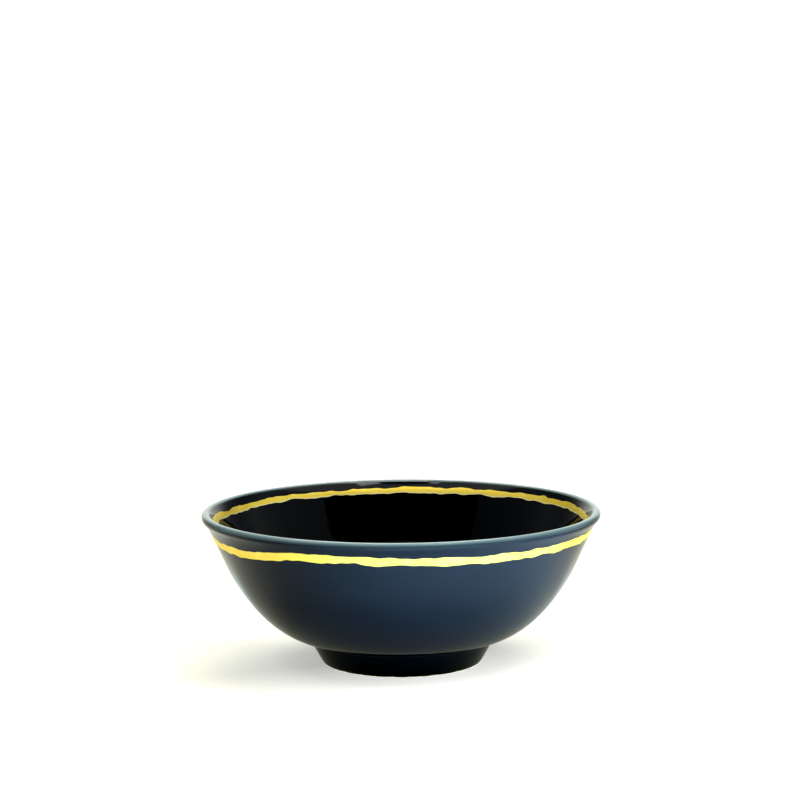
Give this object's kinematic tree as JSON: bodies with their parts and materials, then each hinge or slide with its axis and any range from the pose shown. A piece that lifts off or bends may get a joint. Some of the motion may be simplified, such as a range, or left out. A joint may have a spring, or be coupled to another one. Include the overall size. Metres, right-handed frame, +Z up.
{
  "type": "dip bowl",
  "caption": "Small round glazed porcelain bowl for dips and sauces, with a thin turned-out lip, a steep wall that rounds in below, and a tapered foot ring.",
  "frame": {"origin": "centre of the circle that the foot ring stands on, at table height", "axes": "+Z up along the bowl's axis; the bowl is round, so +X and +Y are any two sides, with -Y towards the viewer of the picture"},
  "size_m": [0.12, 0.12, 0.0462],
  "materials": {
    "glazed_porcelain": "glossy navy blue glaze, with a hand-painted gold lustre stripe under the lip outside and inside, and a bare white biscuit ring where the foot stands"
  },
  "bodies": {
    "root": {"dip_bowl": "glazed_porcelain"}
  },
  "joints": []
}
